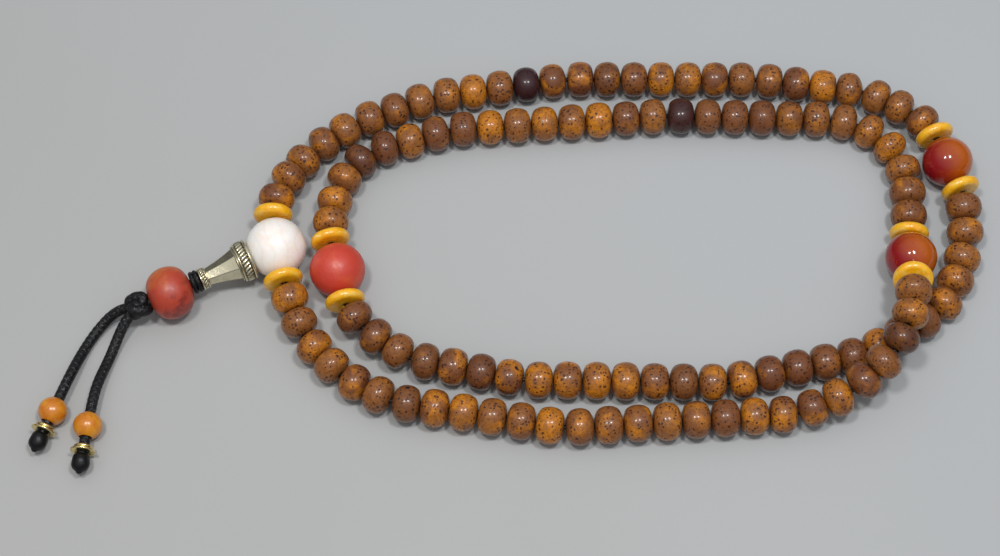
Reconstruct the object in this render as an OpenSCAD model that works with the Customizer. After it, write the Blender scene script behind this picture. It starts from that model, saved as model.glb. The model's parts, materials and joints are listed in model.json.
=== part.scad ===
// Mala: 108 round seeds, three marker beads and eight discs on one looped string,
// closed by a guru bead, a metal cone, a tassel bead and two beaded tails.
// The loop lies on a table in two turns, one inside the other. Millimetres, +Z up.

/* [Seeds] */
// Diameter of a seed
seed_d = 8; // [6.5:0.1:10]
// Length of a seed along the string
seed_len = 5.6; // [5:0.05:7]
// Play between one piece on the string and the next
play = 0.35; // [0.2:0.05:0.4]

/* [Markers] */
// Diameter of the two agate markers
agate_d = 11; // [9:0.5:13]
// Diameter of the coral marker at the middle of the string
coral_d = 11.8; // [10:0.5:14]
// Diameter of the discs beside the markers and the guru bead
disc_d = 8.4; // [7:0.25:10]
// Thickness of a disc
disc_t = 2.2; // [1.5:0.1:3]

/* [Guru and tassel] */
// Diameter of the guru bead
guru_d = 12.8; // [11:0.5:15.5]
// Diameter of the cone's wide collar
collar_d = 8.8; // [7.5:0.2:10.6]
// Diameter of the cone's narrow end
tip_d = 5; // [4.4:0.2:6]
// Length of the cone
cone_len = 11.5; // [9:0.5:15]
// Diameter of the tassel bead
tassel_bead_d = 11.2; // [9:0.2:13.4]
// Length of the tassel bead
tassel_bead_len = 9.5; // [8:0.5:12]
// Diameter of the knot below the tassel bead
knot_d = 6.2; // [5:0.2:7.4]

/* [Tails] */
// Thickness of a tail cord
tail_d = 2.2; // [1.8:0.1:2.6]
// Diameter of the bead on a tail
tail_bead_d = 6; // [5:0.25:7.2]
// Diameter of the metal ring below it
ring_d = 5.2; // [4.4:0.1:6.2]
// Thickness of the ring at its hub
ring_t = 1.6; // [1.2:0.1:2]
// Diameter of the knot at a tail's end
end_knot_d = 3.8; // [3:0.1:4.6]
// How far the ring and the bead slide up the tail
slide = 4; // [2:0.5:5]

/* [String] */
// Thickness of the string
string_d = 1; // [0.8:0.05:1.2]
// Play all round the string or a cord in a bore
bore_play = 0.15; // [0.1:0.05:0.25]

/* [Hidden] */
$fn = 48;
bore_d = string_d + 2 * bore_play;
core_d = 2 * string_d;
tail_bore_d = tail_d + 2 * bore_play;

// The guru bead's place in plan, which puts the origin under the middle of the whole.
guru_at = [-50.6, 1.1];

// The string's plan from the guru bead, in mm: over the far side, round the right end,
// back along the near side to the coral marker.
first_turn = [
    [0, 0], [-1, 9], [1, 17], [7, 25], [17, 32], [28, 36.5], [40, 40], [57, 42],
    [81, 42.5], [104, 42], [116, 41], [126, 38.5], [134, 33.5], [139.5, 26],
    [141.6, 20], [143.2, 11], [142.8, 2], [139.8, -7.5], [136, -13], [129, -19],
    [117, -24], [103, -27.5], [85, -30], [61, -29.5], [41, -27.5], [29, -24.5],
    [20, -19.5], [14.5, -12.5], [12.2, -5]
];

// From the coral marker round again, inside the first turn on the far side, then over
// the first turn at the right end and outside it back to the guru bead.
second_turn = [
    [10.6, 6], [12, 15], [18, 23.5], [29, 28], [47, 31], [73, 32.5], [99, 33.5],
    [114, 32.5], [123, 30.5], [129.5, 25], [132, 16], [131.5, 8], [130.5, -2],
    [129.5, -12], [127, -21], [121, -29.5], [111, -34.5], [95, -38], [73, -39.5],
    [51, -38.5], [33, -36], [20, -31.5], [11, -25], [5, -16.5], [2, -8]
];

// Seeds on each straight stretch of string, quarter by quarter of 27.
quarter_1 = [1, 2, 2, 3, 5, 7, 4, 2, 1];
quarter_2 = [2, 2, 1, 3, 5, 7, 4, 2, 1];
quarter_3 = [2, 1, 1, 3, 8, 6, 1, 1, 1, 1, 2];
quarter_4 = [1, 1, 1, 2, 2, 8, 6, 2, 2, 2];

function seeds(counts) = [for (n = counts) ["seeds", n * (seed_len + play), n]];
disc = ["disc", disc_t + play];
agate = ["agate", agate_d + 2 * play];
agate_set = ["agate_set", agate_d + 2 * disc_t + 4 * play];
coral_set = ["coral_set", coral_d + 2 * disc_t + 4 * play];

// Every stretch of the string in order: what it carries, its length, how many.
strand = concat(
    [disc], seeds(quarter_1), [agate_set], seeds(quarter_2),
    [coral_set], seeds(quarter_3), [disc, agate, disc], seeds(quarter_4), [disc]
);

function sum(v, n) = n == 0 ? 0 : v[n - 1] + sum(v, n - 1);
lengths = [for (s = strand) s[1]];
guru_half = (guru_d + play) / 2;
starts = [for (i = [0:len(strand)]) guru_half + sum(lengths, i)];
string_len = starts[len(strand)] + guru_half;

// Smooth curve through the plan's points, closed at the guru bead.
plan = concat(first_turn, second_turn);
function at(i) = plan[(i + len(plan)) % len(plan)];
function mix(a, b, ta, tb, t) = (a * (tb - t) + b * (t - ta)) / (tb - ta);
function curve(p0, p1, p2, p3, t) =
    let (
        k1 = norm(p1 - p0), k2 = k1 + norm(p2 - p1), k3 = k2 + norm(p3 - p2),
        s = k1 + (k2 - k1) * t,
        a = mix(p0, p1, 0, k1, s), b = mix(p1, p2, k1, k2, s), c = mix(p2, p3, k2, k3, s)
    )
    mix(mix(a, b, 0, k2, s), mix(b, c, k1, k3, s), k1, k2, s);
steps = 8;
outline = [
    for (i = [0:len(plan) - 1], k = [0:steps - 1])
        curve(at(i - 1), at(i), at(i + 1), at(i + 2), k / steps)
];
function last(v) = v[len(v) - 1];

// Distance along a closed line to each of its points.
function run(p) = [
    for (i = 0, d = 0; i <= len(p); i = i + 1, d = d + norm(p[i % len(p)] - p[(i - 1) % len(p)]))
        d
];

// Height of the string's middle above the table, at a distance along the string.
function stretches(kind) = [for (i = [0:len(strand) - 1]) if (strand[i][0] == kind) i];
first_agate = stretches("agate_set")[0];
coral_at = stretches("coral_set")[0];
second_agate = stretches("agate")[0];
function middle(i) = (starts[i] + starts[i + 1]) / 2;
function ease(t) = pow(cos(90 * min(1, max(0, t))), 2);
function lift(away, height, flat, reach) = height * ease((away - flat) / reach);
settle = 2.5 * (seed_len + play);
// The second seed after the second agate rides over the seeds of the first turn.
over_at = middle(second_agate + 3);
over_lift = seed_d + play;
climb = 3.9 * (seed_len + play);
descent = 5.8 * (seed_len + play);
function height(s) = seed_d / 2 + max(
    lift(min(s, string_len - s), (guru_d - seed_d) / 2, guru_half + disc_t + play, settle),
    lift(abs(s - middle(first_agate)), (agate_d - seed_d) / 2, agate_set[1] / 2 + play, settle),
    lift(abs(s - middle(coral_at)), (coral_d - seed_d) / 2, coral_set[1] / 2 + play, settle),
    lift(abs(s - middle(second_agate)), (disc_d - seed_d) / 2 + play, agate_set[1] / 2 + play, settle),
    lift(over_at - s, s < over_at ? over_lift : 0, 0, climb),
    lift(s - over_at, s < over_at ? 0 : over_lift, 0, descent)
);

// The plan is scaled about the guru bead until the string has its true length. The
// first pass finds what the rises add to it.
flat_run = run(outline);
first_scale = string_len / last(flat_run);
first_pass = [
    for (i = [0:len(outline) - 1])
        [each outline[i] * first_scale, height(flat_run[i] * first_scale)]
];
first_run = run(first_pass);
plan_scale = (2 * string_len - last(first_run)) / last(flat_run);
line = [
    for (i = [0:len(outline) - 1])
        [each guru_at + outline[i] * plan_scale, height(first_run[i] * string_len / last(first_run))]
];
line_run = run(line);
index_at = [for (i = [0:len(line_run) - 1]) [line_run[i] * string_len / last(line_run), i]];
function on_line(s) =
    let (f = lookup(s, index_at), i = floor(f))
    line[i % len(line)] * (1 - f + i) + line[(i + 1) % len(line)] * (f - i);

// Ends of the straight stretches.
corners = [for (s = starts) on_line(s)];
guru_centre = [each guru_at, guru_d / 2];

// Lines from the guru bead out through the cone to the tassel knot.
tassel_heading = 205.5;
wall = 0.9;
neck_len = 1.2;
mouth_d = collar_d - 2 * wall;
cone_from = sqrt(pow(guru_d / 2, 2) - pow(mouth_d / 2, 2)) + play;
neck_from = cone_from + cone_len + play;
tassel_bead_at = neck_from + neck_len + play + tassel_bead_len / 2;
knot_len = 0.76 * knot_d;
knot_at = tassel_bead_at + tassel_bead_len / 2 + play + knot_len / 2;
tassel_dip = asin((guru_d - tassel_bead_d) / 2 / tassel_bead_at);
function along_tassel(d) = guru_centre + d * [
    cos(tassel_heading) * cos(tassel_dip), sin(tassel_heading) * cos(tassel_dip), -sin(tassel_dip)
];
knot_centre = along_tassel(knot_at);

// Plan of each tail after the knot, ending where its straight lower stretch begins, and
// that stretch's heading. The second tail shows a little cord above its ring.
tail_routes = [
    [[-31.3, -12.8], [-35.1, -14.8], [-38.3, -19.2], [-40, -23.9], [-41.3, -28.2]],
    [[-30, -14.9], [-32.4, -19.4], [-34.3, -25.3], [-35.8, -31]]
];
tail_headings = [-109, -95];
ring_gaps = [play, 4 * play];

bead_from = slide + 1 + tail_bead_d / 2;
function ring_from(t) = bead_from + tail_bead_d / 2 + ring_gaps[t] + ring_t / 2;
function knot_from(t) = ring_from(t) + ring_t / 2 + play + end_knot_d / 2;
function foot(t) = guru_at + last(tail_routes[t]);
function below(t, d) = [
    foot(t)[0] + d * cos(tail_headings[t]), foot(t)[1] + d * sin(tail_headings[t]), tail_bead_d / 2
];
function tail_plan(t) = concat(
    [[knot_centre[0], knot_centre[1]]], [for (p = tail_routes[t]) guru_at + p],
    [[below(t, bead_from)[0], below(t, bead_from)[1]]]
);
tail_steps = 3;
function tail_outline(t) =
    let (p = tail_plan(t), last = len(p) - 1)
    concat(
        [
            for (i = [0:last - 2], k = [0:tail_steps - 1])
                curve(i == 0 ? 2 * p[0] - p[1] : p[i - 1], p[i], p[i + 1], p[i + 2], k / tail_steps)
        ],
        [foot(t)]
    );
function open_run(p) = [for (i = 0, d = 0; i < len(p); i = i + 1, d = d + norm(p[i % len(p)] - p[i - 1])) d];
drop = 11;
lead_up = 9;
function tail_line(t) =
    let (p = tail_outline(t), r = open_run(p), floor_z = tail_d / 2)
    concat(
        [
            for (i = [0:len(p) - 1])
                [
                    each p[i],
                    floor_z + lift(r[i], knot_centre[2] - floor_z, 0, drop)
                        + lift(last(r) - r[i], tail_bead_d / 2 - floor_z, 0, lead_up)
                ]
        ],
        [below(t, bead_from), below(t, knot_from(t))]
    );

SEEDS = stretches("seeds");
DISCS = stretches("disc");

// Puts its children at a point with their Z axis along a direction.
module aim(p, direction) {
    translate(p)
        rotate([0, acos(direction[2] / norm(direction)), atan2(direction[1], direction[0])])
            children();
}

// Puts its children on stretch i of the string, at a share of its length.
module on_string(i, share = 0.5) {
    a = corners[i];
    b = corners[i + 1];
    aim(a + (b - a) * share, b - a) children();
}

module on_tassel(d) {
    aim(along_tassel(d), along_tassel(1) - along_tassel(0)) children();
}

module on_tail(t, d) {
    aim(below(t, d), below(t, 1) - below(t, 0)) children();
}

// An eight-sided tube through a list of points.
module tube(points, d, closed = false) {
    n = len(points);
    sides = 8;
    function dir(i) =
        let (
            a = closed || i > 0 ? points[i] - points[(i - 1 + n) % n] : [0, 0, 0],
            b = closed || i < n - 1 ? points[(i + 1) % n] - points[i] : [0, 0, 0],
            s = (norm(a) > 0 ? a / norm(a) : a) + (norm(b) > 0 ? b / norm(b) : b)
        )
        s / norm(s);
    function ring(i) =
        let (t = dir(i), side = cross(t, [0, 0, 1]) / norm(cross(t, [0, 0, 1])), up = cross(side, t))
        [
            for (k = [0:sides - 1])
                points[i] + d / 2 * (side * cos(360 * k / sides) + up * sin(360 * k / sides))
        ];
    last = closed ? n - 1 : n - 2;
    skin = [
        for (i = [0:last], k = [0:sides - 1])
            let (j = (i + 1) % n, m = (k + 1) % sides)
            [i * sides + k, i * sides + m, j * sides + m, j * sides + k]
    ];
    caps = closed ? [] : [
        [for (k = [sides - 1:-1:0]) k],
        [for (k = [0:sides - 1]) (n - 1) * sides + k]
    ];
    polyhedron([for (i = [0:n - 1]) each ring(i)], concat(skin, caps), convexity = 10);
}

// A seed: round sides, gently domed ends and a bore, turned about the string.
module seed() {
    side_r = 0.4 * seed_d;
    end_r = 0.65 * seed_d;
    rotate_extrude()
        difference() {
            intersection() {
                union() {
                    translate([seed_d / 2 - side_r, 0]) circle(side_r);
                    translate([0, -seed_len / 2]) square([seed_d / 2 - side_r, seed_len]);
                }
                translate([0, seed_len / 2 - end_r]) circle(end_r);
                translate([0, end_r - seed_len / 2]) circle(end_r);
            }
            translate([-2 * end_r, -end_r]) square([2 * end_r + bore_d / 2, 2 * end_r]);
        }
}

module seed_group(i) {
    tones = ["peru", "chocolate", "sienna", "saddlebrown", "darkgoldenrod"];
    n = strand[i][2];
    color(tones[i % len(tones)])
        for (k = [0:n - 1]) on_string(i, (k + 0.5) / n) seed();
}

module disc() {
    rotate_extrude()
        difference() {
            union() {
                translate([0, -disc_t / 2]) square([(disc_d - disc_t) / 2, disc_t]);
                translate([(disc_d - disc_t) / 2, 0]) circle(disc_t / 2);
            }
            translate([0, -disc_t]) square([bore_d / 2, 2 * disc_t]);
        }
}

module lone_disc(i) {
    color("orange") on_string(i) disc();
}

// The two discs on either side of a marker.
module disc_pair(i, marker_d) {
    reach = (marker_d + disc_t) / 2 + play;
    color("orange")
        on_string(i)
            for (z = [-reach, reach]) translate([0, 0, z]) disc();
}

module marker(i, d, tone) {
    color(tone)
        on_string(i)
            difference() {
                sphere(d = d);
                cylinder(h = 2 * d, d = bore_d, center = true);
            }
}

// Two turns of cord, flat against each other.
module neck_knot() {
    turn_d = neck_len / 2;
    for (k = [0, 1])
        translate([0, 0, turn_d * (k + 0.5)])
            rotate_extrude() {
                translate([core_d / 2 + turn_d * 0.9, 0]) circle(turn_d / 2);
                translate([0, -turn_d / 2]) square([core_d / 2 + turn_d * 0.9, turn_d]);
            }
}

// The loop, and the core that carries on from the guru bead through the cone, with a
// small knot below the cone, to the tassel knot.
module string() {
    core_from = string_d / 2 + play;
    color("black") {
        tube(concat([guru_centre], corners), string_d, closed = true);
        on_tassel(core_from) cylinder(h = knot_at - core_from, d = core_d);
        on_tassel(neck_from) neck_knot();
    }
}

module guru_bead() {
    color("ivory")
        difference() {
            translate(guru_centre) sphere(d = guru_d);
            for (p = [corners[0], last(corners)])
                aim(guru_centre, p - guru_centre)
                    translate([0, 0, -bore_d / 2]) cylinder(h = guru_d, d = bore_d);
            on_tassel(-core_d / 2) cylinder(h = guru_d, d = core_d + 2 * bore_play);
        }
}

// Eight flat faces between a banded collar and a banded tip, hollow, with a hole at the tip.
module guru_cone() {
    lip = 0.6;
    band = 1.9;
    tip_band = 1.6;
    face_d = 0.86 * collar_d;
    face_tip_d = 0.76 * tip_d;
    color("darkkhaki")
        on_tassel(cone_from)
            difference() {
                union() {
                    cylinder(h = lip, d = collar_d);
                    cylinder(h = lip + band, d = collar_d - lip / 2);
                    translate([0, 0, lip + band]) cylinder(h = lip, d = collar_d);
                    cylinder(h = cone_len - tip_band / 2, d1 = face_d, d2 = face_tip_d, $fn = 8);
                    translate([0, 0, cone_len - tip_band]) cylinder(h = tip_band, d = tip_d - lip / 2);
                    translate([0, 0, cone_len - tip_band]) cylinder(h = lip / 2, d = tip_d);
                }
                translate([0, 0, -lip])
                    cylinder(h = cone_len - tip_band, d1 = mouth_d, d2 = core_d + 2 * bore_play);
                cylinder(h = 3 * cone_len, d = core_d + 2 * bore_play, center = true);
            }
}

module tassel_bead() {
    color("orangered")
        on_tassel(tassel_bead_at)
            difference() {
                intersection() {
                    sphere(d = tassel_bead_d);
                    cylinder(h = tassel_bead_len, d = 2 * tassel_bead_d, center = true);
                }
                cylinder(h = 2 * tassel_bead_len, d = core_d + 2 * bore_play, center = true);
            }
}

module tassel_knot() {
    color("black")
        on_tassel(knot_at)
            intersection() {
                sphere(d = knot_d);
                cylinder(h = knot_len, d = 2 * knot_d, center = true);
            }
}

module tail_cord(t) {
    color("black") tube(tail_line(t), tail_d);
}

module tail_bead(t) {
    color("chocolate")
        on_tail(t, bead_from)
            difference() {
                sphere(d = tail_bead_d);
                cylinder(h = 2 * tail_bead_d, d = tail_bore_d, center = true);
            }
}

// A flat ring with a raised hub on both faces.
module tail_ring(t) {
    rim_t = 0.6 * ring_t;
    color("goldenrod")
        on_tail(t, ring_from(t))
            difference() {
                union() {
                    rotate_extrude() {
                        translate([0, -rim_t / 2]) square([(ring_d - rim_t) / 2, rim_t]);
                        translate([(ring_d - rim_t) / 2, 0]) circle(rim_t / 2);
                    }
                    cylinder(h = ring_t, d = (ring_d + tail_bore_d) / 2, center = true);
                }
                cylinder(h = 2 * ring_t, d = tail_bore_d, center = true);
            }
}

module end_knots() {
    color("black")
        for (t = [0, 1]) on_tail(t, knot_from(t)) sphere(d = end_knot_d);
}

string();
guru_bead();
marker(first_agate, agate_d, "firebrick");  // agate_marker_1
marker(coral_at, coral_d, "tomato");  // coral_marker
marker(second_agate, agate_d, "firebrick");  // agate_marker_2
disc_pair(first_agate, agate_d);  // agate_discs
disc_pair(coral_at, coral_d);  // coral_discs
for (i = [1:len(DISCS)]) lone_disc(DISCS[i - 1]);
for (i = [1:len(SEEDS)]) seed_group(SEEDS[i - 1]);
guru_cone();
tassel_bead();
tassel_knot();
for (t = [1, 2]) tail_cord(t - 1);
for (t = [1, 2]) tail_bead(t - 1);
for (t = [1, 2]) tail_ring(t - 1);
end_knots();
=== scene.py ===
import json
import math
import random

import bmesh
import bpy
import numpy as np
from mathutils import Matrix, Vector, noise


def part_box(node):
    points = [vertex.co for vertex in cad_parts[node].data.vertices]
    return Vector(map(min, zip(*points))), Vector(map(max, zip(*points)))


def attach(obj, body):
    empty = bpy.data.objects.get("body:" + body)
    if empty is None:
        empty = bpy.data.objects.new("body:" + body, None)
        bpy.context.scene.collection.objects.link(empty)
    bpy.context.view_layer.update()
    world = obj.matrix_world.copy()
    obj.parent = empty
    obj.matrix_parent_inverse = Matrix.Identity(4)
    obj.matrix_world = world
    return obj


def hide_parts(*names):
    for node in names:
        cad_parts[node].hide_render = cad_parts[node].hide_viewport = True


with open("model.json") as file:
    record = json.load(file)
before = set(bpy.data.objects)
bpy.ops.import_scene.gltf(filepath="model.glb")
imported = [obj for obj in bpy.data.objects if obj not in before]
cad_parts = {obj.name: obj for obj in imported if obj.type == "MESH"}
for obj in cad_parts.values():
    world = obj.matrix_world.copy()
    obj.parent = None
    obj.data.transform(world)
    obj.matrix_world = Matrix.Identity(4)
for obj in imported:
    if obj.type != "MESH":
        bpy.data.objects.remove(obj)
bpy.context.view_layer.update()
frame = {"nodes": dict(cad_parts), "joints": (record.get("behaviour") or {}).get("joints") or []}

MM = 0.001
IN_MM = Matrix.Scale(MM, 4)
JOINTS = {j["child"]: j for j in frame["joints"]}


# ---------------------------------------------------------------- places

def unit(v):
    v = np.array(v, float)
    return v / np.linalg.norm(v)


def centre_of(node):
    lo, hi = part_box(node)
    return np.array((lo + hi) / 2)


def axis_of(body):
    return unit(JOINTS[body]["axis"])


def place_of(body):
    return np.array(JOINTS[body]["pos_m"], float)


def points_of(node):
    mesh = frame["nodes"][node].data
    co = np.zeros(len(mesh.vertices) * 3)
    mesh.vertices.foreach_get("co", co)
    return co.reshape(-1, 3)


def reach_of(node, centre, axis):
    """Lowest and highest distance of a node along an axis through a point."""
    along = (points_of(node) - centre) @ axis
    return along.min(), along.max()


def across(axis):
    """Two directions square to an axis and to each other."""
    flat = np.array([0, 0, 1.0]) if abs(axis[2]) < 0.9 else np.array([1.0, 0, 0])
    u = unit(np.cross(flat, axis))
    return u, np.cross(axis, u)


def set_at(middle, axis):
    """The matrix that takes a part made in mm about Z to its place on an axis, in metres."""
    u, v = across(axis)
    place = Matrix.Identity(4)
    for column, way in enumerate((u, v, axis)):
        for row in range(3):
            place[row][column] = float(way[row]) * MM
    for row in range(3):
        place[row][3] = float(middle[row])
    return place


def turn_of(place):
    """The turn alone of a matrix from set_at."""
    return place.to_3x3() * (1 / MM)


GURU = centre_of("guru_bead")
TASSEL = axis_of("guru_cone")
KNOT = centre_of("tassel_knot")

# ---------------------------------------------------------------- camera

CAMERA_AT = (-0.0036, -0.1932, 0.3783)
LOOKS_AT = (-0.0036, -0.0049, 0.004)

camera = bpy.data.objects.new("camera", bpy.data.cameras.new("camera"))
bpy.context.scene.collection.objects.link(camera)
bpy.context.scene.camera = camera
camera.data.lens = 72
camera.data.sensor_width = 36
camera.location = CAMERA_AT
camera.rotation_mode = "QUATERNION"
camera.rotation_quaternion = (Vector(LOOKS_AT) - Vector(CAMERA_AT)).to_track_quat("-Z", "Y")
camera.data.clip_start = 0.01
camera.data.clip_end = 20


# ---------------------------------------------------------------- making parts

# Points nearer than this, in mm, are joined.
SAME_POINT = 1e-4
STRING_R = 0.5
CORE_R = 1.0
# Radii of the bores, in mm.
STRING_BORE = 0.66
CORE_BORE = 1.16
TAIL_BORE = 1.26


def blank():
    """An empty part whose points carry a place in the stone, a place along the cord, and a tint."""
    part = bmesh.new()
    layers = part.verts.layers
    layers.float_vector.new("grain")
    layers.float_vector.new("lay")
    layers.float_color.new("tint")
    return part


class Piece:
    """Parts made in mm, each set in its place, gathered into one object."""

    def __init__(self):
        self.whole = bmesh.new()

    # A level part's grain runs the same way as the object's, however the part is turned.
    def take(self, part, place=IN_MM, shift=(0, 0, 0), tint=None, level=False):
        grain, shade = part.verts.layers.float_vector["grain"], part.verts.layers.float_color["tint"]
        turn = turn_of(place) if level else Matrix.Identity(3)
        shift = Vector(shift)
        for vert in part.verts:
            vert[grain] = turn @ vert.co + shift
            if tint:
                vert[shade] = tint
        bmesh.ops.transform(part, matrix=place, verts=part.verts)
        bmesh.ops.recalc_face_normals(part, faces=part.faces)
        loose = bpy.data.meshes.new("loose")
        part.to_mesh(loose)
        part.free()
        self.whole.from_mesh(loose)
        bpy.data.meshes.remove(loose)

    def finish(self, name, material, slot, body, *stands_for):
        for face in self.whole.faces:
            face.smooth = True
        mesh = bpy.data.meshes.new(name)
        self.whole.to_mesh(mesh)
        self.whole.free()
        mesh.materials.append(material)
        made = bpy.data.objects.new(name, mesh)
        bpy.context.scene.collection.objects.link(made)
        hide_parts(*stands_for)
        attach(made, body)
        return made


def turned(profile, sides, turn=0.0):
    """A closed outline of (radius, height) points in mm, spun about Z."""
    part = blank()
    c, s = math.cos(turn), math.sin(turn)
    ring = [part.verts.new((r * c, r * s, z)) for r, z in profile]
    edges = [part.edges.new((a, b)) for a, b in zip(ring, ring[1:] + ring[:1])]
    bmesh.ops.spin(part, geom=ring + edges, cent=(0, 0, 0), axis=(0, 0, 1), angle=2 * math.pi, steps=sides,
                   use_merge=True)
    return part


def uneven(part, bore, size, scale, seed, squeeze=(1, 1, 1)):
    """Swells and sinks a turned part by smooth noise, all but its bore."""
    for vert in part.verts:
        share = min(1, max(0, (math.hypot(vert.co.x, vert.co.y) - bore - 0.5) / 1.8))
        lift = size * noise.noise(vert.co * scale + Vector((seed * 7.3, seed * 3.1, seed * 5.7)))
        for k in range(3):
            vert.co[k] *= 1 + share * (squeeze[k] - 1)
        vert.co += vert.co.normalized() * lift * share


def bead_profile(radius, half, bore, side, domes, rows=20, soft=14):
    """Rounded sides, a domed end at each of the bore's mouths, and the bore, in mm."""
    outside = []
    mouth = math.atan2(half, bore + 0.2)
    for i in range(rows + 1):
        a = mouth * (1 - 2 * i / rows)
        c, s = math.cos(a), abs(math.sin(a))
        o = radius - side
        flank = o * c + math.sqrt(max(0, side * side - o * o * s * s))
        share = min(1, max(0, 0.5 + a / mouth))
        dome = 1 / ((1 - share) / domes[0] + share / domes[1])
        d = dome - half
        end = -d * s + math.sqrt(dome * dome - d * d * c * c)
        t = (flank ** -soft + end ** -soft) ** (-1 / soft)
        outside.append((t * c, math.copysign(t * s, a)))
    z = outside[0][1]
    inside = [(bore + 0.06, -z + 0.12), (bore, -z + 0.5), (bore, 0), (bore, z - 0.5), (bore + 0.06, z - 0.12)]
    return outside + inside


def smooth_line(points, steps):
    """Catmull-Rom curve through points."""
    points = [2 * points[0] - points[1], *points, 2 * points[-1] - points[-2]]
    out = []
    for i in range(1, len(points) - 2):
        p0, p1, p2, p3 = points[i - 1 : i + 3]
        for k in range(steps):
            t = k / steps
            out.append(0.5 * (2 * p1 + (p2 - p0) * t + (2 * p0 - 5 * p1 + 4 * p2 - p3) * t * t
                              + (3 * p1 - p0 - 3 * p2 + p3) * t ** 3))
    out.append(points[-2])
    return np.array(out)


def run_of(line):
    return np.concatenate([[0], np.cumsum(np.linalg.norm(np.diff(line, axis=0), axis=1))])


def evenly(line, gap, closed=False):
    """The line again, with points a gap apart."""
    if closed:
        line = np.vstack([line, line[:1]])
    run = run_of(line)
    at = np.linspace(0, run[-1], max(3, int(round(run[-1] / gap))) + 1)
    if closed:
        at = at[:-1]
    return np.stack([np.interp(at, run, line[:, k]) for k in range(3)], axis=1)


def sides_along(line, closed):
    """A side direction at each point of a line, turning no more than the line does."""
    heading = np.roll(line, -1, axis=0) - np.roll(line, 1, axis=0) if closed else np.gradient(line, axis=0)
    heading /= np.linalg.norm(heading, axis=1)[:, None]
    side = np.array(across(heading[0])[0])
    found = []
    for h in heading:
        side = unit(side - h * (side @ h))
        found.append(side)
    found = np.array(found)
    if closed:
        back = unit(side - heading[0] * (side @ heading[0]))
        twist = math.atan2(back @ np.cross(heading[0], found[0]), back @ found[0])
        undo = -twist * np.arange(len(line))[:, None] / len(line)
        found = found * np.cos(undo) + np.cross(heading, found) * np.sin(undo)
    return found, np.cross(heading, found)


def tube(line, radius, sides, ripple, closed=False):
    """A cord along a line, in mm: a grid rolled round the line and joined at its edges."""
    rings = len(line)
    u, v = sides_along(line, closed)
    along = run_of(line)
    around = np.arange(sides) * 2 * math.pi / sides
    r = radius * np.array([ripple(a, around) for a in along])
    spot = line[:, None] + r[:, :, None] * (np.cos(around)[None, :, None] * u[:, None]
                                            + np.sin(around)[None, :, None] * v[:, None])
    part = blank()
    lay = part.verts.layers.float_vector["lay"]
    lengths = rings if closed else rings - 1
    bmesh.ops.create_grid(part, x_segments=lengths, y_segments=sides, size=0.5)
    for vert in part.verts:
        i = round((vert.co.x + 0.5) * lengths) % rings
        j = round((vert.co.y + 0.5) * sides) % sides
        vert[lay] = (along[i], radius * math.cos(around[j]), radius * math.sin(around[j]))
        vert.co = spot[i, j]
    bmesh.ops.remove_doubles(part, verts=part.verts, dist=SAME_POINT)
    if not closed:
        bmesh.ops.holes_fill(part, edges=[e for e in part.edges if e.is_boundary], sides=0)
    return part


# ---------------------------------------------------------------- materials

class Paint:
    """A procedural material, built node by node."""

    def __init__(self, name, colour, roughness, metallic=0.0):
        self.material = bpy.data.materials.new(name)
        self.material.use_nodes = True
        self.tree = self.material.node_tree
        self.shader = self.tree.nodes["Principled BSDF"]
        self.set(Base_Color=(*colour, 1), Roughness=roughness, Metallic=metallic)
        self.material.diffuse_color = (*colour, 1)

    def node(self, kind, values=None, **settings):
        made = self.tree.nodes.new(kind)
        for key, value in settings.items():
            setattr(made, key, value)
        for key, value in (values or {}).items():
            self.put(made.inputs[key], value)
        return made

    def put(self, socket, value):
        if isinstance(value, bpy.types.NodeSocket):
            self.tree.links.new(value, socket)
        else:
            socket.default_value = value

    def set(self, **values):
        for key, value in values.items():
            self.put(self.shader.inputs[key.replace("_", " ")], value)

    def attribute(self, name):
        return self.node("ShaderNodeAttribute", attribute_name=name)

    def grain(self):
        return self.attribute("grain").outputs["Vector"]

    def tint(self):
        return self.node("ShaderNodeSeparateColor", {0: self.attribute("tint").outputs["Color"]}).outputs

    def noise(self, at, scale, detail=2.0, rough=0.5, twist=0.0):
        return self.node("ShaderNodeTexNoise", {"Vector": at, "Scale": scale, "Detail": detail,
                                                "Roughness": rough, "Distortion": twist}).outputs["Fac"]

    def cells(self, at, scale):
        return self.node("ShaderNodeTexVoronoi", {"Vector": at, "Scale": scale})

    def stretched(self, at, scale):
        return self.node("ShaderNodeMapping", {0: at, "Scale": scale}).outputs[0]

    def ramp(self, value, low, high, out_low=0.0, out_high=1.0):
        return self.node("ShaderNodeMapRange", {"Value": value, "From Min": low, "From Max": high,
                                                "To Min": out_low, "To Max": out_high},
                         interpolation_type="SMOOTHSTEP").outputs[0]

    def math(self, operation, a, b=0.0):
        return self.node("ShaderNodeMath", {0: a, 1: b}, operation=operation).outputs[0]

    def mix(self, share, a, b):
        made = self.node("ShaderNodeMix", data_type="RGBA")
        for socket, value in ((made.inputs[0], share), (made.inputs[6], a), (made.inputs[7], b)):
            self.put(socket, (*value, 1) if isinstance(value, tuple) else value)
        return made.outputs[2]

    def bump(self, height, depth, strength=1.0):
        values = {"Height": height, "Distance": depth, "Strength": strength}
        return self.node("ShaderNodeBump", values).outputs[0]

    def warped(self, at, scale, size):
        """Coordinates pushed about by noise."""
        push = self.node("ShaderNodeTexNoise", {"Vector": at, "Scale": scale, "Detail": 1.0}).outputs["Color"]
        push = self.node("ShaderNodeVectorMath", {0: push, "Scale": size}, operation="SCALE").outputs[0]
        return self.node("ShaderNodeVectorMath", {0: at, 1: push}, operation="ADD").outputs[0]


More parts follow.
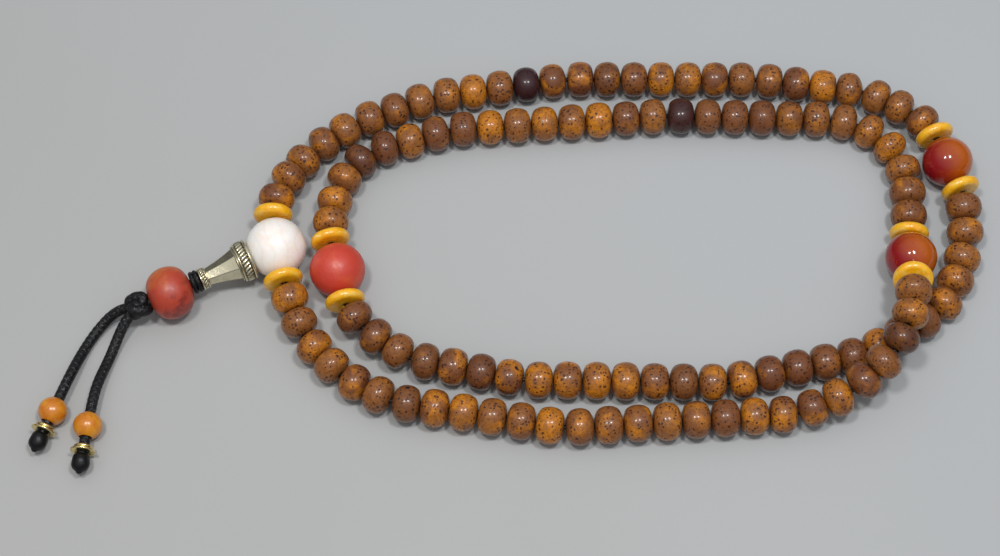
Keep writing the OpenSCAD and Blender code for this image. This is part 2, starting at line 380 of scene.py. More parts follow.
def seed_paint():
    """Polished brown seed: golden patches, dark flecks, a painted grey-lilac sheen of reflection, and now and
    then a pit.
    """
    p = Paint("seed_shell", (0.25, 0.09, 0.025), 0.34)
    at = p.grain()
    gold, dark, shade = p.tint()[:3]
    broad = p.noise(at, 0.24, 2.5, 0.55, 0.4)
    patch = p.ramp(p.math("ADD", broad, p.math("MULTIPLY", gold, 0.34)), 0.55, 0.86)
    body = p.mix(shade, (0.150, 0.050, 0.020), (0.30, 0.112, 0.026))
    colour = p.mix(patch, body, (0.56, 0.195, 0.010))
    cloudy = p.noise(at, 1.3, 4.0, 0.6)
    colour = p.mix(p.ramp(cloudy, 0.35, 0.7, 0.0, 0.5), colour, (0.125, 0.04, 0.016))
    # Painted reflection: grey-lilac patches mixed into the colour stand for a sheen of reflected sky.
    painted_sheen = p.ramp(p.noise(at, 0.5, 1.0), 0.5, 0.75, 0.0, 0.22)
    colour = p.mix(painted_sheen, colour, (0.17, 0.075, 0.05))
    loose = p.warped(at, 2.2, 0.5)
    spots = p.cells(loose, 1.45)
    chance = p.node("ShaderNodeSeparateColor", {0: spots.outputs["Color"]}).outputs[0]
    size = p.ramp(chance, 0.1, 1.0, 0.08, 0.42)
    large = p.ramp(p.math("SUBTRACT", spots.outputs["Distance"], size), -0.06, 0.06, 1.0, 0.0)
    small = p.ramp(p.cells(loose, 2.9).outputs["Distance"], 0.14, 0.36, 0.75, 0.0)
    fleck = p.math("MAXIMUM", large, small)
    colour = p.mix(p.math("MULTIPLY", fleck, 0.88), colour, (0.035, 0.011, 0.008))
    pit = p.ramp(p.cells(at, 0.13).outputs["Distance"], 0.045, 0.07, 1.0, 0.0)
    colour = p.mix(pit, colour, (0.02, 0.009, 0.006))
    colour = p.mix(dark, colour, p.mix(fleck, (0.040, 0.0135, 0.015), (0.014, 0.007, 0.007)))
    skin = p.math("MULTIPLY", p.noise(at, 1.0, 3.0), 0.5)
    height = p.math("SUBTRACT", skin, p.math("MULTIPLY", fleck, 0.14))
    height = p.math("SUBTRACT", height, p.math("MULTIPLY", pit, 2.5))
    p.set(Base_Color=colour, Roughness=p.ramp(fleck, 0.0, 1.0, 0.34, 0.5), Specular_IOR_Level=0.2,
          Coat_Weight=0.5, Coat_Roughness=0.13, Coat_IOR=1.38, Normal=p.bump(height, 0.00012, 0.7))
    return p.material


def agate_paint(name, deep, bright):
    """Glossy banded stone, deep red on one side and bright on the other."""
    p = Paint(name, (0.42, 0.055, 0.02), 0.12)
    at = p.grain()
    loose = p.warped(at, 0.16, 5.0)
    split = p.node("ShaderNodeSeparateXYZ", {0: loose})
    over = p.ramp(p.math("ADD", split.outputs[0], p.math("MULTIPLY", split.outputs[1], 0.35)), -2.0, 6.5)
    colour = p.mix(over, deep, bright)
    veil = p.noise(loose, 0.42, 4.0, 0.6, 1.2)
    colour = p.mix(p.ramp(veil, 0.54, 0.78, 0.0, 0.4), colour, (0.52, 0.12, 0.015))
    colour = p.mix(p.ramp(veil, 0.2, 0.42, 0.6, 0.0), colour, (0.10, 0.006, 0.008))
    fine = p.noise(at, 0.5, 2.0)
    p.set(Base_Color=colour, Roughness=p.ramp(fine, 0.3, 0.7, 0.10, 0.18), Specular_IOR_Level=0.3,
          Coat_Weight=0.5, Coat_Roughness=0.04, Subsurface_Weight=0.12, Subsurface_Scale=0.002,
          Normal=p.bump(fine, 0.00015, 0.3))
    p.shader.inputs["Subsurface Radius"].default_value = (1.0, 0.3, 0.12)
    return p.material


def coral_paint(name, base, light, dark, dark_share, slope):
    """Satin orange-red stone: a lighter side, darker blotches and a pitted skin."""
    p = Paint(name, base, 0.42)
    at = p.grain()
    loose = p.warped(at, 0.2, 3.0)
    split = p.node("ShaderNodeSeparateXYZ", {0: loose})
    side = p.math("SUBTRACT", p.math("MULTIPLY", split.outputs[1], 0.8), split.outputs[0])
    cloud = p.math("ADD", p.noise(loose, 0.16, 3.0, 0.55, 0.6), p.math("MULTIPLY", side, slope))
    colour = p.mix(p.ramp(cloud, 0.44, 0.72), base, light)
    blotch = p.math("SUBTRACT", p.noise(loose, 0.36, 5.0, 0.62), p.math("MULTIPLY", side, slope * 0.6))
    colour = p.mix(p.ramp(blotch, 0.56, 0.76, 0.0, dark_share), colour, dark)
    fine = p.noise(at, 2.4, 5.0, 0.65)
    colour = p.mix(p.ramp(fine, 0.45, 0.8, 0.0, 0.25), colour, (0.3, 0.03, 0.015))
    height = p.math("ADD", p.noise(at, 0.8, 3.0), p.math("MULTIPLY", p.noise(at, 5.0, 3.0), 0.12))
    p.set(Base_Color=colour, Roughness=p.ramp(fine, 0.3, 0.7, 0.36, 0.52), Coat_Weight=0.2,
          Coat_Roughness=0.32, Subsurface_Weight=0.12, Subsurface_Scale=0.001,
          Normal=p.bump(height, 0.00015, 0.6))
    return p.material


def shell_paint():
    """White shell with faint cream and pink marbling."""
    p = Paint("shell_white", (0.92, 0.87, 0.82), 0.34)
    at = p.grain()
    loose = p.warped(at, 0.13, 6.0)
    cloud = p.noise(loose, 0.13, 3.0, 0.5, 0.8)
    colour = p.mix(p.ramp(cloud, 0.38, 0.66), (0.95, 0.905, 0.855), (0.92, 0.79, 0.70))
    veins = p.node("ShaderNodeTexWave", {"Vector": loose, "Scale": 0.11, "Distortion": 5.0, "Detail": 3.0,
                                         "Detail Scale": 0.8}).outputs["Fac"]
    colour = p.mix(p.ramp(veins, 0.82, 1.0, 0.0, 0.14), colour, (0.70, 0.60, 0.48))
    fine = p.noise(at, 3.0, 4.0, 0.6)
    colour = p.mix(p.ramp(fine, 0.55, 0.8, 0.0, 0.12), colour, (0.7, 0.62, 0.55))
    p.set(Base_Color=colour, Roughness=p.ramp(fine, 0.3, 0.7, 0.3, 0.42), Coat_Weight=0.25,
          Coat_Roughness=0.22, Subsurface_Weight=0.2, Subsurface_Scale=0.0015,
          Normal=p.bump(p.noise(at, 0.9, 3.0), 0.0001, 0.4))
    return p.material


def amber_paint(name, pale):
    """Amber yellow with pale swirls."""
    p = Paint(name, (0.80, 0.38, 0.012), 0.26)
    at = p.grain()
    loose = p.warped(at, 0.35, 2.4)
    swirl = p.node("ShaderNodeTexWave", {"Vector": loose, "Scale": 0.2, "Distortion": 4.0, "Detail": 2.0},
                   bands_direction="Z").outputs["Fac"]
    cloud = p.noise(loose, 0.45, 3.0, 0.55, 0.7)
    colour = p.mix(p.ramp(cloud, 0.35, 0.65), (0.84, 0.39, 0.005), (0.90, 0.49, 0.016))
    light = p.math("MULTIPLY", p.ramp(swirl, 0.5, 0.9), p.ramp(cloud, 0.42, 0.62))
    colour = p.mix(p.math("MULTIPLY", light, pale), colour, (0.84, 0.62, 0.20))
    colour = p.mix(p.ramp(p.noise(at, 1.6, 4.0, 0.6), 0.6, 0.8, 0.0, 0.3), colour, (0.5, 0.17, 0.01))
    p.set(Base_Color=colour, Roughness=p.ramp(cloud, 0.3, 0.7, 0.24, 0.34), Coat_Weight=0.45,
          Coat_Roughness=0.16, Subsurface_Weight=0.15, Subsurface_Scale=0.001,
          Normal=p.bump(p.noise(at, 1.1, 3.0), 0.00012, 0.5))
    return p.material


def metal_paint(name, bright, worn, deep):
    """Antique metal: bright on the high parts, brown in the recesses."""
    p = Paint(name, bright, 0.3, 1.0)
    at = p.grain()
    low = p.tint()[0]
    stain = p.noise(at, 0.8, 5.0, 0.65, 0.5)
    colour = p.mix(p.ramp(stain, 0.45, 0.72, 0.0, 0.45), bright, worn)
    colour = p.mix(low, colour, deep)
    scratch = p.noise(p.stretched(at, (9.0, 9.0, 0.8)), 1.0, 3.0)
    rough = p.math("ADD", p.ramp(stain, 0.3, 0.75, 0.14, 0.32), p.math("MULTIPLY", low, 0.3))
    height = p.math("ADD", stain, p.math("MULTIPLY", scratch, 0.35))
    p.set(Base_Color=colour, Roughness=rough, Normal=p.bump(height, 0.00006, 0.5))
    return p.material


def braid_paint():
    """Waxed black braid with small painted highlights: glints painted into its colour."""
    p = Paint("black_braid", (0.006, 0.006, 0.007), 0.5)
    at = p.attribute("lay").outputs["Vector"]
    strand = p.noise(at, 2.6, 3.0, 0.6, 0.4)
    fibre = p.noise(p.stretched(at, (3.0, 12.0, 12.0)), 1.0, 3.0, 0.6)
    # Painted highlights: small pale spots, in clusters, stand for glints of reflected light on the braid.
    painted_glint = p.ramp(p.cells(at, 2.0).outputs["Distance"], 0.10, 0.22, 1.0, 0.0)
    colour = p.mix(p.ramp(strand, 0.4, 0.7), (0.0035, 0.0035, 0.0042), (0.010, 0.010, 0.012))
    painted_glint = p.math("MULTIPLY", painted_glint, p.ramp(p.noise(at, 0.35, 1.0), 0.42, 0.62, 0.05, 0.6))
    colour = p.mix(painted_glint, colour, (0.42, 0.43, 0.44))
    p.set(Base_Color=colour, Roughness=p.ramp(fibre, 0.3, 0.7, 0.3, 0.5), Specular_IOR_Level=0.28,
          Normal=p.bump(p.math("ADD", strand, fibre), 0.0001, 0.6))
    return p.material


def orange_paint():
    """Glossy orange stone with tiny flecks."""
    p = Paint("orange_stone", (0.60, 0.20, 0.008), 0.26)
    at = p.grain()
    cloud = p.noise(p.warped(at, 0.4, 1.5), 0.4, 3.0, 0.55, 0.4)
    colour = p.mix(p.ramp(cloud, 0.36, 0.68), (0.55, 0.165, 0.006), (0.68, 0.27, 0.012))
    flecks = p.ramp(p.cells(p.warped(at, 2.0, 0.4), 2.2).outputs["Distance"], 0.1, 0.24, 0.65, 0.0)
    colour = p.mix(flecks, colour, (0.30, 0.07, 0.008))
    p.set(Base_Color=colour, Roughness=p.ramp(cloud, 0.3, 0.7, 0.26, 0.34), Coat_Weight=0.4,
          Coat_Roughness=0.22, Normal=p.bump(p.noise(at, 1.2, 3.0), 0.0001, 0.4))
    return p.material


SEED = seed_paint()
SHELL = shell_paint()
AGATE = agate_paint("agate_red", (0.25, 0.006, 0.010), (0.42, 0.088, 0.003))
CORAL = coral_paint("coral_red", (0.57, 0.050, 0.028), (0.64, 0.095, 0.034), (0.42, 0.03, 0.02),
                    dark_share=0.4, slope=0.0)
TASSEL_STONE = coral_paint("coral_orange", (0.43, 0.046, 0.020), (0.50, 0.120, 0.020), (0.16, 0.016, 0.014),
                           dark_share=0.8, slope=0.03)
AMBER = amber_paint("amber_yellow", 0.4)
PALE_AMBER = amber_paint("amber_pale", 1.0)
CAP_METAL = metal_paint("antique_brass", (0.74, 0.68, 0.49), (0.30, 0.26, 0.15), (0.030, 0.024, 0.015))
RING_METAL = metal_paint("ring_brass", (0.80, 0.64, 0.30), (0.45, 0.34, 0.14), (0.12, 0.09, 0.04))
BRAID = braid_paint()
ORANGE = orange_paint()


# ---------------------------------------------------------------- tail cords

TAIL_D = 2.2
# The route of each tail in plan from the guru bead's middle.
TAIL_ROUTES = (
    ((-31.3, -12.8), (-35.1, -14.8), (-38.3, -19.2), (-40, -23.9), (-41.3, -28.2)),
    ((-30, -14.9), (-32.4, -19.4), (-34.3, -25.3), (-35.8, -31)),
)
# Lengths over which a tail comes down from its knot, and up to its bead.
DROP = 11
LEAD_UP = 9
ROUTE_STEP = 0.8
ROUNDINGS = 25
# Length that stays straight on the knot's side of the bead.
STRAIGHT_IN = 4


def eased(t):
    """Falls smoothly from 1 to 0 as t goes from 0 to 1."""
    return math.cos(math.pi / 2 * min(1, max(0, t))) ** 2


def tail_route(n):
    """The way of one tail in mm: out of the knot, down to the table, up into its bead and on to its
    end knot."""
    guru, knot, bead = GURU / MM, KNOT / MM, centre_of(f"tail_bead_{n + 1}") / MM
    plan = [knot[:2], *[guru[:2] + np.array(p) for p in TAIL_ROUTES[n]], bead[:2]]
    plan = smooth_line([np.array([*p, 0.0]) for p in plan], 6)
    last_bend = guru[:2] + np.array(TAIL_ROUTES[n][-1])
    stop = int(np.argmin(np.linalg.norm(plan[:, :2] - last_bend, axis=1)))
    plan = plan[: stop + 1]
    run = run_of(plan)
    low = TAIL_D / 2
    plan[:, 2] = [low + (knot[2] - low) * eased(r / DROP) + (bead[2] - low) * eased((run[-1] - r) / LEAD_UP)
                  for r in run]
    knots = points_of("end_knots") / MM
    ring, other = centre_of(f"tail_ring_{n + 1}") / MM, centre_of(f"tail_ring_{2 - n}") / MM
    near = knots[np.linalg.norm(knots - ring, axis=1) < np.linalg.norm(knots - other, axis=1)]
    end = (near.min(axis=0) + near.max(axis=0)) / 2
    line = evenly(np.vstack([plan, [bead, end]]), ROUTE_STEP)
    keep = int(round((np.linalg.norm(end - bead) + STRAIGHT_IN) / ROUTE_STEP))
    for _ in range(ROUNDINGS):
        middle = (line[:-2] + 2 * line[1:-1] + line[2:]) / 4
        line[1 : len(line) - 1 - keep] = middle[: len(line) - 2 - keep]
    return line, bead, end


BRAID_LEAD = 1.25
TWIST_LEAD = 1.6


def braid(along, around):
    """Plaited surface: strands that cross both ways round the cord."""
    lead = 2 * math.pi * along / BRAID_LEAD
    return 0.96 + 0.06 * np.maximum(np.sin(5 * around + lead), np.sin(5 * around - lead))


tails = []
for n in (0, 1):
    route, bead, end = tail_route(n)
    cord = Piece()
    cord.take(tube(evenly(smooth_line(list(route), 6), 0.13), TAIL_D / 2, 32, braid))
    cord = cord.finish(f"tail_cord_{n + 1}_braid", BRAID, "black_cord", "strung", f"tail_cord_{n + 1}")
    tails.append((cord, route, bead, end))


# ---------------------------------------------------------------- string and knots

def stretches_along():
    """Each straight stretch of the string as (body, start, end), from the bodies that turn about it."""
    found = []
    for body in JOINTS:
        if not body.startswith(("seeds", "disc", "agate", "coral")):
            continue
        pos, axis = place_of(body), axis_of(body)
        low, high = reach_of(body, pos, axis)
        found.append((body, pos + axis * low, pos + axis * high))
    # These two lie between the discs of a pair, so the pair's stretch holds them.
    found = [f for f in found if f[0] not in ("agate_marker_1", "coral_marker")]
    order, here = [], GURU
    while found:
        pick = min(range(len(found)), key=lambda i: np.linalg.norm(found[i][1] - here))
        order.append(found.pop(pick))
        here = order[-1][2]
    return order


STRETCHES = stretches_along()


def twisted(along, around):
    """Surface of a cord twisted from three strands."""
    return 0.94 + 0.06 * np.sin(3 * around + along / TWIST_LEAD * 2 * math.pi)


def string_piece():
    """The thin loop, the core inside the cone and the tassel bead, and the turns of cord between the two."""
    piece = Piece()
    bends = [(a[2] + b[1]) / 2 for a, b in zip(STRETCHES, STRETCHES[1:])]
    loop = np.array([GURU, STRETCHES[0][1], *bends, STRETCHES[-1][2]]) / MM
    fine = evenly(loop, ROUTE_STEP, closed=True)
    for _ in range(2):
        fine = (np.roll(fine, 1, axis=0) + 2 * fine + np.roll(fine, -1, axis=0)) / 4
    piece.take(tube(fine, STRING_R, 10, twisted, closed=True))
    piece.take(tube(evenly(np.array([GURU + TASSEL * MM, KNOT]) / MM, 0.3), CORE_R, 24, braid))
    high = reach_of("guru_cone", GURU, TASSEL)[1] / MM
    first = reach_of("tassel_bead", GURU, TASSEL)[0] / MM
    u, v = across(TASSEL)
    turn = (first - high) / 4
    around = np.linspace(0, 2 * math.pi, 90, endpoint=False)[:, None]
    for n in (0, 1):
        middle = high + turn * (2 * n + 1) + 0.12 * np.sin(around + n)
        ring = GURU / MM + TASSEL * middle + (2.42 - turn) * (np.cos(around) * u + np.sin(around) * v)
        piece.take(tube(evenly(ring, 0.14, closed=True), turn * 1.04, 20, braid, closed=True))
    return piece.finish("string_cord", BRAID, "black_cord", "strung", "string")


def overhand(turns_out, turns_along, about, axis, count=420):
    """The way of a cord in an overhand knot drawn tight, its two ends joined inside."""
    t = np.linspace(0, 2 * math.pi, count, endpoint=False)[:, None]
    u, v = across(axis)
    over = turns_out * (np.sin(t) + 1.7 * np.sin(2 * t)) * u
    out = turns_out * (np.cos(t) - 1.7 * np.cos(2 * t)) * v
    return about + over + out - turns_along * np.sin(3 * t) * axis


def tassel_knot_piece():
    piece = Piece()
    way = overhand(0.70, 1.38, KNOT / MM - TASSEL * 0.4, TASSEL)
    piece.take(tube(evenly(way, 0.14, closed=True), 1.24, 28, braid, closed=True))
    core = turned(bead_profile(2.1, 2.4, 0.3, 1.6, (6.0, 6.0), 12), 32)
    piece.take(core, set_at(KNOT, TASSEL), tint=(1, 0, 0, 1))
    return piece.finish("tassel_knot_wound", BRAID, "black_cord", "strung", "tassel_knot")


def end_knot_piece(n, end, heading):
    """A small knot drawn tight and sealed, with a nub of cord past it."""
    piece = Piece()
    lump = [(0.2, -2.2), (0.9, -2.15), (1.4, -1.85), (1.74, -1.3), (1.88, -0.6), (1.86, 0.1), (1.66, 0.75),
            (1.3, 1.25), (0.92, 1.55), (0.66, 1.72), (0.56, 1.95), (0.36, 2.12), (0.15, 2.16)]
    outline = evenly(smooth_line([np.array([r, z, 0.0]) for r, z in lump], 4), 0.15)
    part = turned([(r, z) for r, z, _ in outline] + [(0.1, 2.0), (0.1, -2.0)], 48, n)
    for vert in part.verts:
        r, a = math.hypot(vert.co.x, vert.co.y), math.atan2(vert.co.y, vert.co.x)
        if r > 0.3:
            fold = 0.035 * math.sin(2 * a + 1.6 * vert.co.z)
            fold += 0.012 * math.sin(3 * a - 2.6 * vert.co.z + 1 + n)
            wide = 1 + fold * min(1, r)
            vert.co.x *= wide
            vert.co.y *= wide
    piece.take(part, set_at(end * MM, heading))
    return piece.finish(f"end_knot_{n + 1}_tied", BRAID, "black_cord", "strung", "end_knots")


# ---------------------------------------------------------------- beads

# How much darker, or more golden, some seeds are than the rest, by their number along the string.
DARK_SEEDS = {11: 1.0, 14: 0.35, 41: 0.35, 48: 0.3, 50: 0.3, 52: 0.3, 57: 0.45, 69: 0.95, 73: 0.35, 83: 0.7,
              101: 0.35}
GOLDEN_SEEDS = {9: 0.9, 16: 0.7, 22: 0.8, 55: 0.6, 62: 1.0, 64: 0.8, 66: 1.0, 77: 0.8, 96: 0.9, 99: 0.8,
                105: 0.8, 107: 0.7}
SEED_R = 3.98
# Half a seed's length: towards another body, and towards a seed that turns with it.
SEED_HALF = 2.87
TOUCHING_HALF = 2.95
# The length and the play that the seeds are spaced by.
SEED_LEN = 5.6
SEED_PLAY = 0.33
# Radii of the domes on the seeds' ends.
FLATTEST = 14.0
ROUNDEST = 4.8
DISC_HALF = 1.07
DISC_R = 4.17
DISC_MIDDLE = 1.1
GURU_R = 6.38
AGATE_D = 10.96
CORAL_D = 11.76
TASSEL_BEAD_D = 11.1
TASSEL_BEAD_LEN = 9.45
TAIL_BEAD_D = 5.96


def end_dome(axis, other_axis, apart):
    """How round a seed's end is, so that it clears its neighbour where the string bends."""
    bend = math.acos(min(1, float(axis @ other_axis)))
    room = max(0.02, apart / MM - 2 * SEED_HALF + SEED_LEN)
    return min(FLATTEST, max(ROUNDEST, 0.9 * room / (2 * (1 - math.cos(bend / 2)) + 1e-6)))


def seed_pieces():
    """Every seed, a little different from its neighbours, with one object to a body."""
    count = 0
    for here, (body, start, end) in enumerate(STRETCHES):
        if not body.startswith("seeds"):
            continue
        axis = axis_of(body)
        before, after = STRETCHES[here - 1], STRETCHES[(here + 1) % len(STRETCHES)]
        first_dome = end_dome(axis, axis_of(before[0]), np.linalg.norm(start - before[2]))
        last_dome = end_dome(axis, axis_of(after[0]), np.linalg.norm(after[1] - end))
        length = np.linalg.norm(end - start) / MM
        many = int(round((length + SEED_PLAY) / (SEED_LEN + SEED_PLAY)))
        pitch = (length - SEED_LEN) / (many - 1) if many > 1 else 0.0
        piece = Piece()
        for k in range(many):
            rnd = random.Random(1000 + count)
            below = SEED_HALF if k == 0 else TOUCHING_HALF
            above = SEED_HALF if k == many - 1 else TOUCHING_HALF
            middle = start + axis * MM * (SEED_LEN / 2 + k * pitch + (above - below) / 2)
            radius = SEED_R * rnd.uniform(0.965, 1.0)
            domes = (first_dome if k == 0 else FLATTEST, last_dome if k == many - 1 else FLATTEST)
            side = radius * rnd.uniform(0.98, 1.1)
            soft = rnd.uniform(9, 12)
            profile = bead_profile(radius, (above + below) / 2, STRING_BORE, side, domes, 22, soft)
            part = turned(profile, 44, rnd.uniform(0, 6))
            squeeze = (rnd.uniform(0.975, 1.0), rnd.uniform(0.975, 1.0), 1.0)
            uneven(part, STRING_BORE, 0.06, 0.28, count, squeeze)
            gold = GOLDEN_SEEDS.get(count, rnd.uniform(0.0, 0.62))
            tint = (gold, DARK_SEEDS.get(count, 0.0), rnd.uniform(0, 1), 1)
            piece.take(part, set_at(middle, axis), [rnd.uniform(-50, 50) for _ in range(3)], tint)
            count += 1
        piece.finish(f"{body}_shells", SEED, "seed", body, body)


def disc_part(seed):
    """A disc with slightly domed faces, a full round rim and a bore."""
    half, radius, bore = DISC_HALF, DISC_R, STRING_BORE
    rim = radius - half
    above = [(bore + 0.1, half - 0.02), (1.2, half), (1.9, half), (2.6, half - 0.01)]
    above += [(rim + half * math.sin(a), half * math.cos(a) ** 0.9) for a in np.linspace(0.15, 1.45, 9)]
    below = [(r, -z) for r, z in reversed(above)]
    part = turned([*above, (radius, 0.0), *below, (bore, -half + 0.15), (bore, half - 0.15)], 64)
    uneven(part, bore, 0.07, 0.3, seed)
    return part


def disc_pieces():
    for number in (1, 2, 3, 4):
        body = f"disc_{number}"
        piece = Piece()
        piece.take(disc_part(number), set_at(place_of(body), axis_of(body)), (number * 17, number * 5, 0))
        piece.finish(f"{body}_amber", AMBER, "amber", body, body)
    for kind, (body, pale) in enumerate((("agate_discs", None), ("coral_discs", "second"))):
        pos, axis = place_of(body), axis_of(body)
        low, high = reach_of(body, pos, axis)
        for side, far in (("first", low + DISC_MIDDLE * MM), ("second", high - DISC_MIDDLE * MM)):
            seed = 5 + 2 * kind + (side == "second")
            piece = Piece()
            piece.take(disc_part(seed), set_at(pos + axis * far, axis), (seed * 17, seed * 5, 0))
            piece.finish(f"{body}_{side}", PALE_AMBER if side == pale else AMBER, "amber", body, body)


def ball_piece(name, body, diameter, bore, material, slot, seed, length=None, lumps=0.06, shift=(0, 0, 0)):
    """A bored bead, a little uneven: round, or with flattened ends if it has a length."""
    radius = diameter / 2
    if length is None:
        profile = bead_profile(radius, diameter * 0.4925, bore, radius, (diameter * 0.51,) * 2, 40, 40)
    else:
        profile = bead_profile(radius, length / 2, bore, diameter * 0.52, (diameter * 1.7,) * 2, 40, 9)
    part = turned(profile, 96)
    uneven(part, bore, lumps, 0.2, seed)
    piece = Piece()
    piece.take(part, set_at(centre_of(body), axis_of(body)), shift, level=True)
    return piece.finish(name, material, slot, body, body)


def guru_piece():
    """A round shell bead. Its two bores aren't quite in line, so its lower half is turned to suit, and a
    third is sunk for the cone."""
    upper, lower = unit(place_of("disc_1") - GURU), unit(place_of("disc_4") - GURU)
    radius = GURU_R
    part = turned(bead_profile(radius, radius * 0.99, 0.68, radius, (radius * 1.01,) * 2, 60, 60), 120)
    place = set_at(GURU, upper)
    turn = turn_of(place)
    down, tassel = turn.transposed() @ Vector(lower), turn.transposed() @ Vector(TASSEL)
    hinge = Vector((0, 0, -1)).cross(down).normalized()
    bend = Vector((0, 0, -1)).angle(down)
    for vert in part.verts:
        share = min(1, max(0, -vert.co.z / radius))
        vert.co = Matrix.Rotation(bend * share * share * (3 - 2 * share), 3, hinge) @ vert.co
        if vert.co.length > 5:
            vert.co *= 1 - 0.35 * min(1, max(0, (13 - math.degrees(vert.co.angle(tassel))) / 5))
    piece = Piece()
    piece.take(part, place, (21, 21, 21))
    return piece.finish("guru_bead_shell", SHELL, "shell", "strung", "guru_bead")


# ---------------------------------------------------------------- metal

TIP_BAND = 1.62


def rope_band(middle, radius, half, strands, slant, per=9, rows=14):
    """A band of slanting strands, raised between dark grooves: a grid rolled into a ring."""
    part = blank()
    tint = part.verts.layers.float_color["tint"]
    bmesh.ops.create_grid(part, x_segments=strands * per, y_segments=rows, size=0.5)
    for vert in part.verts:
        turn, z = vert.co.x * 2 * math.pi, vert.co.y * 2
        raised = abs(math.cos((strands * turn + slant * z) / 2)) ** 0.8
        edge = math.sqrt(max(0, 1 - abs(z) ** 4))
        r = radius - 0.16 + 0.30 * raised * edge
        vert[tint] = (min(1, max(0, 1.25 - 1.5 * raised * (0.35 + 0.65 * edge))), 0, 0, 1)
        vert.co = (r * math.cos(turn), r * math.sin(turn), middle + half * z)
    bmesh.ops.remove_doubles(part, verts=part.verts, dist=SAME_POINT)
    return part


def half_round(radius, middle, half, swell, steps=10):
    """Outline of a raised bead of metal that runs round a ring."""
    around = np.linspace(0, math.pi, steps)
    return [(radius + swell * math.sin(a), middle - half * math.cos(a)) for a in around]


def flats(low, high, wide, narrow, count=8):
    """The cap's flat faces: a cone of a few sides, drawn in along its length, with its corners bevelled."""
    part = blank()
    bmesh.ops.create_cone(part, cap_ends=False, segments=count, radius1=wide, radius2=narrow,
                          depth=high - low)
    corners = [e for e in part.edges if abs(e.verts[0].co.z - e.verts[1].co.z) > 1]
    bmesh.ops.subdivide_edges(part, edges=corners, cuts=7, use_grid_fill=True)
    for vert in part.verts:
        share = vert.co.z / (high - low) + 0.5
        drawn = 1 - 0.07 * math.sin(math.pi * share)
        vert.co = (vert.co.x * drawn, vert.co.y * drawn, vert.co.z + (low + high) / 2)
    corners = [e for e in part.edges if abs(e.verts[0].co.z - e.verts[1].co.z) > 0.1]
    bmesh.ops.bevel(part, geom=corners, offset=0.13, offset_type="OFFSET", segments=2, profile=0.5,
                    affect="EDGES", material=-1)
    for edge in part.edges:
        edge.smooth = abs(edge.verts[0].co.z - edge.verts[1].co.z) < 0.1
    return part


def cone_piece():
    """The cap: lip, roped band between two rings, eight flat faces, roped tip."""
    low, high = reach_of("guru_cone", GURU, TASSEL)
    base = set_at(GURU + TASSEL * low, TASSEL)
    length = (high - low) / MM
    tip = length - TIP_BAND
    piece = Piece()
    for rows, dark in (
        ([(3.5, 0.02), (3.8, -0.02), *half_round(3.95, 0.34, 0.34, 0.44), (3.6, 0.72), (3.4, 0.6)], 0.0),
        ([(3.7, 0.5), (4.02, 0.55), (4.02, 2.5), (3.7, 2.6)], 1.0),
        ([(3.6, 2.3), *half_round(3.82, 2.58, 0.27, 0.40), (3.5, 2.95)], 0.0),
        ([(3.3, 2.7), *half_round(3.58, 3.02, 0.2, 0.26), (3.3, 3.3)], 0.35),
        ([(1.5, tip - 0.1), *half_round(1.96, tip + 0.14, 0.24, 0.34), (1.6, tip + 0.4)], 0.0),
        ([(1.5, tip + 0.3), (2.02, tip + 0.35), (2.02, tip + 1.15), (1.5, tip + 1.2)], 1.0),
        ([(1.2, tip + 1.0), *half_round(1.98, tip + 1.34, 0.26, 0.46), (1.25, length)], 0.0),
        ([(3.5, 0.1), (3.55, 0.3), (3.4, 2.6), (1.5, length - 1.6), (1.2, length - 0.3), (1.16, length - 0.6),
          (1.3, length - 2.2), (3.2, 2.4)], 0.9),
    ):
        piece.take(turned(rows, 96), base, tint=(dark, 0, 0, 1))
    piece.take(rope_band(1.52, 4.17, 0.81, 30, 2.6), base)
    piece.take(rope_band(tip + 0.72, 2.14, 0.41, 20, 2.2, 8), base)
    piece.take(flats(2.9, length - 1.5, 3.74, 1.9), base, tint=(0, 0, 0, 1))
    return piece.finish("guru_cone_cap", CAP_METAL, "brass", "guru_cone", "guru_cone")


def ring_piece(n, heading):
    """A stepped metal ring: a round bead of metal, then a wide thin flange towards the knot."""
    body = f"tail_ring_{n + 1}"
    piece = Piece()
    rows = [(1.27, -0.6), (1.4, -0.75), *half_round(1.6, -0.4, 0.36, 0.42, 9), (2.1, 0.05),
            *half_round(2.28, 0.36, 0.26, 0.3, 9), (1.9, 0.72), (1.45, 0.78), (1.27, 0.6)]
    piece.take(turned(rows, 72), set_at(centre_of(body), heading), tint=(0, 0, 0, 1))
    return piece.finish(f"{body}_metal", RING_METAL, "brass", body, body)


# ---------------------------------------------------------------- the object

string_piece()
tassel_knot_piece()
seed_pieces()
disc_pieces()
guru_piece()
ball_piece("agate_marker_1_stone", "agate_marker_1", AGATE_D, STRING_BORE, AGATE, "agate", seed=3)
ball_piece("agate_marker_2_stone", "agate_marker_2", AGATE_D, STRING_BORE, AGATE, "agate", seed=4)
ball_piece("coral_marker_stone", "coral_marker", CORAL_D, STRING_BORE, CORAL, "coral", seed=5, lumps=0.05)
ball_piece("tassel_bead_stone", "tassel_bead", TASSEL_BEAD_D, CORE_BORE, TASSEL_STONE, "coral", seed=6,
           length=TASSEL_BEAD_LEN, lumps=0.16)
cone_piece()
for n, (cord, route, bead, end) in enumerate(tails):
    stone = ball_piece(f"tail_bead_{n + 1}_stone", f"tail_bead_{n + 1}", TAIL_BEAD_D, TAIL_BORE, ORANGE,
                       "orange_stone", seed=7 + n, lumps=0.04, shift=(77 + 11 * n, 0, 0))
    ring = ring_piece(n, unit(end - bead))
    knot = end_knot_piece(n, end, unit(end - bead))


# ---------------------------------------------------------------- table top and light

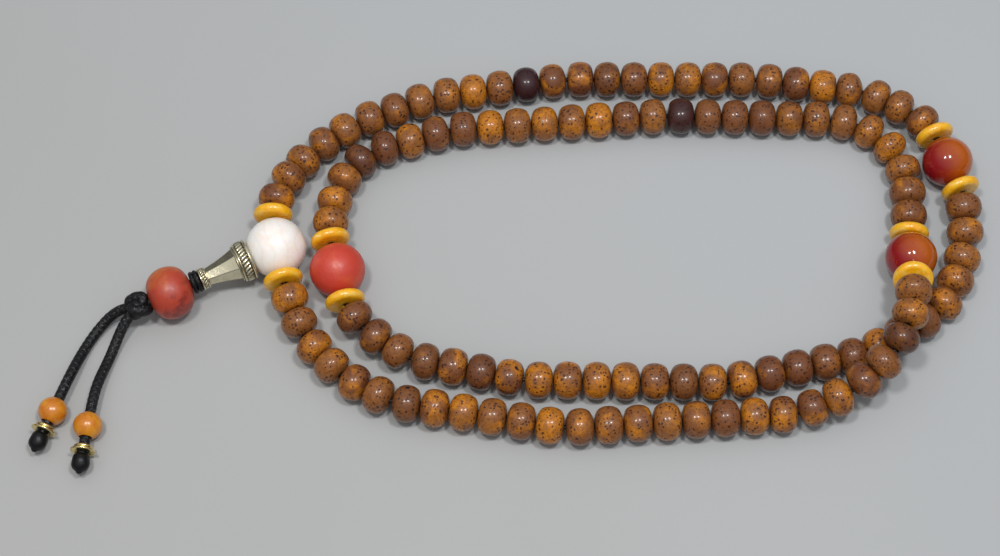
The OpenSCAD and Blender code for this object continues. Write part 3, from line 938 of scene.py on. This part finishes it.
def floor_piece():
    """A plain grey table top, with light painted in that makes it a little paler towards the far right."""
    mesh = bpy.data.meshes.new("table_top")
    table = bmesh.new()
    bmesh.ops.create_grid(table, x_segments=8, y_segments=8, size=1.6)
    table.to_mesh(mesh)
    table.free()
    piece = bpy.data.objects.new("table_top", mesh)
    bpy.context.scene.collection.objects.link(piece)
    p = Paint("table_grey", (0.47, 0.48, 0.49), 0.6)
    at = p.node("ShaderNodeTexCoord").outputs["Object"]
    split = p.node("ShaderNodeSeparateXYZ", {0: at})
    # Painted light: the top is paler towards the far right and darker towards the left, as the light falls on
    # it.
    slope = p.ramp(p.math("ADD", split.outputs[0], split.outputs[1]), -0.16, 0.16)
    colour = p.mix(slope, (0.385, 0.386, 0.378), (0.420, 0.434, 0.444))
    cloud = p.noise(at, 14.0, 2.0)
    colour = p.mix(p.ramp(cloud, 0.3, 0.7, 0.0, 0.12), colour, (0.375, 0.38, 0.385))
    p.set(Base_Color=colour, Roughness=p.ramp(cloud, 0.3, 0.7, 0.5, 0.62), Specular_IOR_Level=0.25,
          Normal=p.bump(p.noise(at, 900.0, 2.0), 0.00002, 0.3))
    mesh.materials.append(p.material)


def lamp(name, place, size, power, colour):
    """A round lamp that faces the middle of the table."""
    light = bpy.data.lights.new(name, "AREA")
    light.shape = "DISK"
    light.size = size
    light.energy = power
    light.color = colour
    holder = bpy.data.objects.new(name, light)
    bpy.context.scene.collection.objects.link(holder)
    holder.location = place
    holder.rotation_mode = "QUATERNION"
    holder.rotation_quaternion = (Vector((0, 0, 0)) - Vector(place)).to_track_quat("-Z", "Y")


def soft_room():
    """A pale room, brightest overhead and dark at the horizon."""
    world = bpy.data.worlds.new("soft_room")
    bpy.context.scene.world = world
    world.use_nodes = True
    tree = world.node_tree
    height = tree.nodes.new("ShaderNodeSeparateXYZ")
    tree.links.new(tree.nodes.new("ShaderNodeTexCoord").outputs["Generated"], height.inputs[0])
    strength = tree.nodes.new("ShaderNodeMapRange")
    strength.interpolation_type = "SMOOTHSTEP"
    for name, value in (("From Min", 0.15), ("From Max", 0.95), ("To Min", 0.10), ("To Max", 0.72)):
        strength.inputs[name].default_value = value
    tree.links.new(height.outputs[2], strength.inputs["Value"])
    background = tree.nodes["Background"]
    background.inputs["Color"].default_value = (0.94, 0.965, 1.0, 1)
    tree.links.new(strength.outputs[0], background.inputs["Strength"])


floor_piece()
lamp("lamp_left", (-0.125, -0.10, 0.64), 0.09, 1.4, (1.0, 0.985, 0.96))
lamp("lamp_right", (0.125, -0.08, 0.64), 0.09, 1.5, (0.97, 0.985, 1.0))
soft_room()
bpy.context.scene.view_settings.view_transform = "Standard"
bpy.context.scene.view_settings.look = "None"
